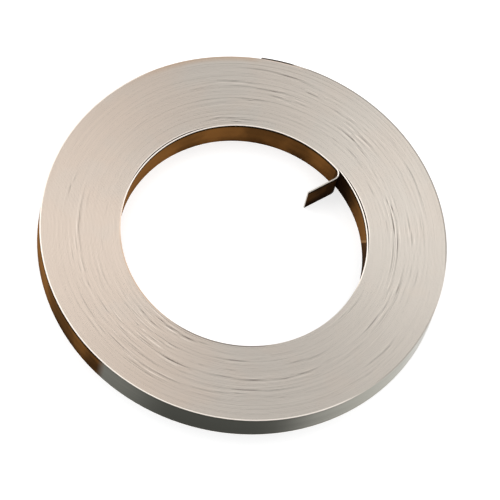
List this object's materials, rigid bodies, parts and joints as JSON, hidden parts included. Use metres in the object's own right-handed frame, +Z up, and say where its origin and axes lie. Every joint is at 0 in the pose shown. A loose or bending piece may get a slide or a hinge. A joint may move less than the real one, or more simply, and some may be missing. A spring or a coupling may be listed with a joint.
{
  "type": "steel strip coil",
  "caption": "Pancake coil of narrow bright steel strip lying flat, wound as one continuous spiral round an open bore, with its inner end bent into the bore as a short tab.",
  "frame": {"origin": "on the coil's axis, in the plane of the end that the coil lies on", "axes": "+Z up along the coil's axis, away from the end it lies on; seen from above, the strip's outer end is 98 degrees and its bent inner tab about 54 degrees anticlockwise from +X"},
  "size_m": [0.2494, 0.2498, 0.02],
  "materials": {
    "bright_steel": "bright rolled faces, slit edges"
  },
  "bodies": {
    "root": {"strip_coil": "bright_steel"}
  },
  "joints": []
}
